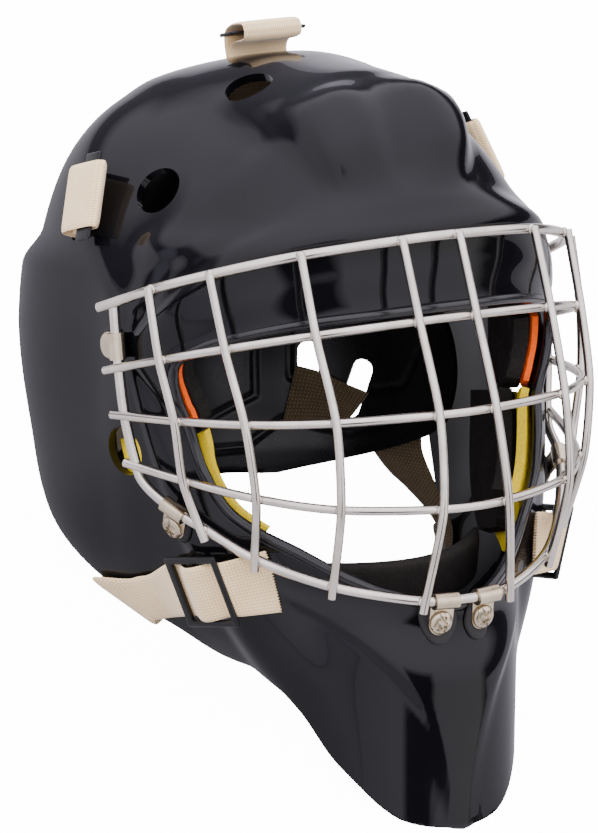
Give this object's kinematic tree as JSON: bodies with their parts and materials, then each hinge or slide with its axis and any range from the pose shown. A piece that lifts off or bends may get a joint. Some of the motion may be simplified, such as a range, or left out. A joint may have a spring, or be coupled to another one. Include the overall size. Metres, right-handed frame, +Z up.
{
  "type": "hockey goalie mask",
  "caption": "Full-head moulded goalie mask with a welded wire face cage, vented crown, pointed chin, padded inside and a strapped back plate.",
  "frame": {"origin": "middle of the bounding box's base, on the surface that the mask stands on", "axes": "+Z up, the cage faces -Y, +X is to the wearer's left"},
  "size_m": [0.243, 0.3228, 0.2459],
  "materials": {
    "shell": "gloss black moulded composite",
    "trim": "gloss black edge bead",
    "steel": "satin nickel-plated round wire",
    "clamp": "warm nickel plate",
    "rubber": "matt black rubber",
    "elastic": "coarse woven cream elastic",
    "band": "olive-brown woven elastic",
    "plastic": "satin black",
    "plate": "satin black with pressed grooves",
    "orange_foam": "fine-celled orange foam",
    "yellow_foam": "fine-celled yellow foam",
    "grey_foam": "dark grey foam"
  },
  "bodies": {
    "root": {"shell": "shell", "face_trim": "trim", "cage": "steel", "clamp_upper_right": "clamp", "washer_upper_right": "rubber", "screw_upper_right": "clamp", "clamp_lower_right": "clamp", "washer_lower_right": "rubber", "screw_lower_right": "clamp", "clamp_chin_right": "clamp", "washer_chin_right": "rubber", "screw_chin_right": "clamp", "clamp_upper_left": "clamp", "washer_upper_left": "rubber", "screw_upper_left": "clamp", "clamp_lower_left": "clamp", "washer_lower_left": "rubber", "screw_lower_left": "clamp", "clamp_chin_left": "clamp", "washer_chin_left": "rubber", "screw_chin_left": "clamp", "back_plate": "plate", "top_strap": "elastic", "upper_strap_right": "elastic", "upper_strap_left": "elastic", "top_strap_bar": "plastic", "upper_strap_bar_right": "plastic", "upper_strap_bar_left": "plastic", "inner_band_right": "band", "inner_band_left": "band", "lower_strap_right": "elastic", "lower_strap_left": "elastic", "buckle_right": "plastic", "buckle_left": "plastic", "brow_pad_orange": "orange_foam", "brow_pad_foam": "grey_foam", "temple_pad_orange_right": "orange_foam", "temple_pad_orange_left": "orange_foam", "temple_pad_foam_right": "grey_foam", "temple_pad_foam_left": "grey_foam", "cheek_pad_yellow_right": "yellow_foam", "cheek_pad_yellow_left": "yellow_foam", "cheek_pad_foam_right": "grey_foam", "cheek_pad_foam_left": "grey_foam", "chin_sling": "grey_foam"}
  },
  "joints": []
}
